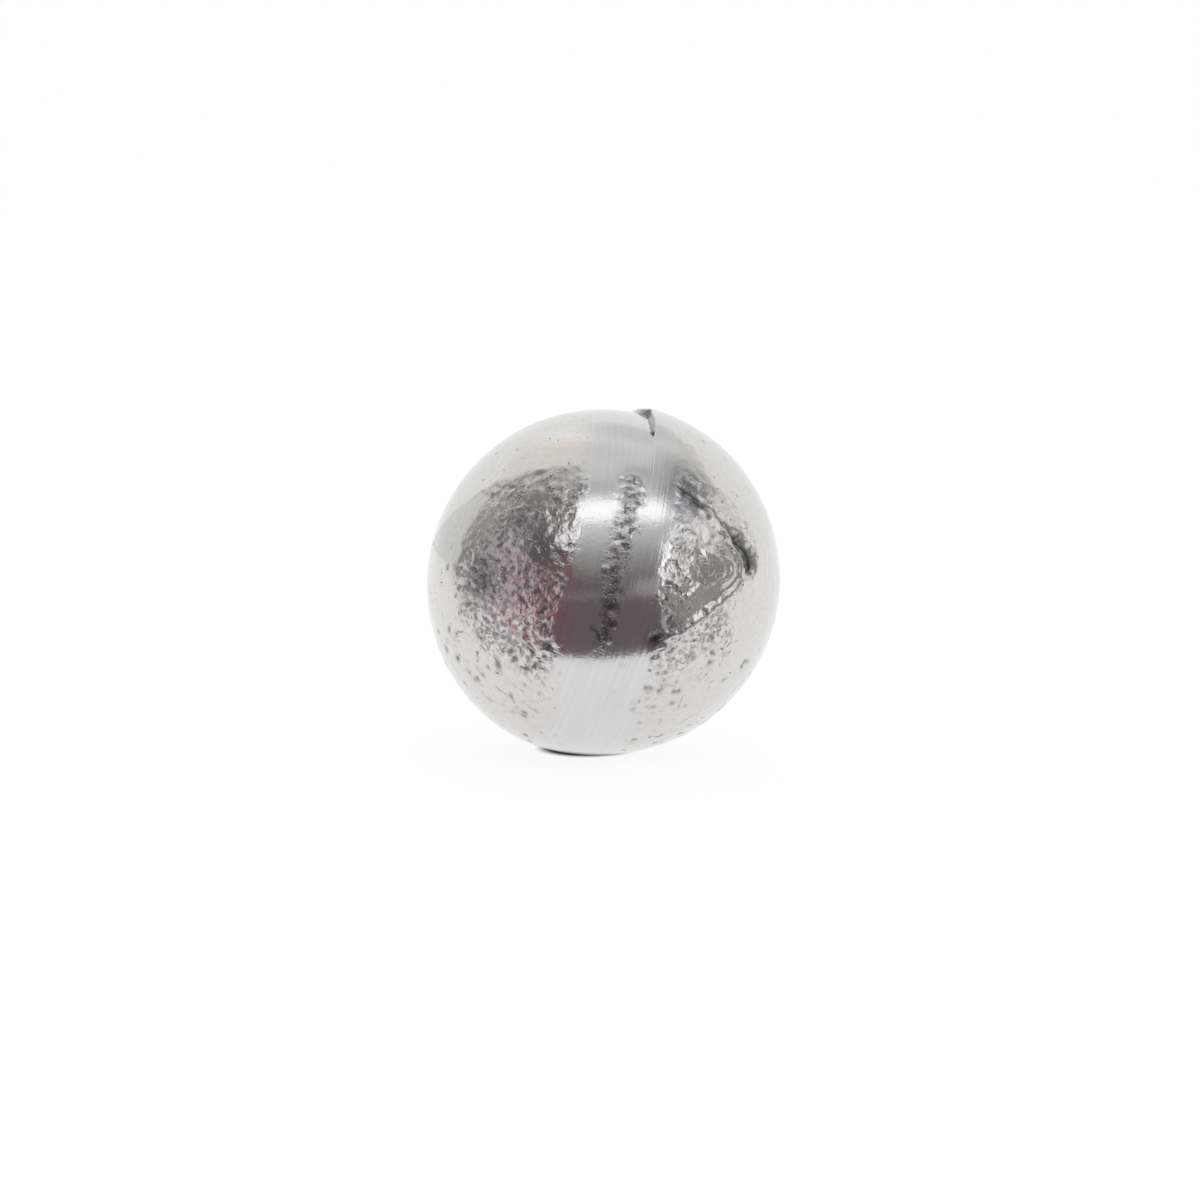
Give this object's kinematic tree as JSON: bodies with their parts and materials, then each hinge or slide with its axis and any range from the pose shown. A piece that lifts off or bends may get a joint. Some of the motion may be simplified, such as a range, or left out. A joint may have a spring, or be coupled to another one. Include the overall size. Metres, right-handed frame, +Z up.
{
  "type": "cast zinc ball",
  "caption": "Solid zinc ball with an as-cast skin, two half rounds slightly out of line at the mould's joint, an open crack at the top and a small level foot.",
  "frame": {"origin": "on the level foot, straight below the middle of the ball", "axes": "+Z up out of the foot; the front, where the crack runs down, is -Y; the parting plane of the mould faces +X, leaning 14.6 degrees and turned 7.4 degrees"},
  "size_m": [0.0502, 0.0501, 0.0491],
  "materials": {
    "cast_zinc": "satin"
  },
  "bodies": {
    "root": {"ball": "cast_zinc"}
  },
  "joints": []
}
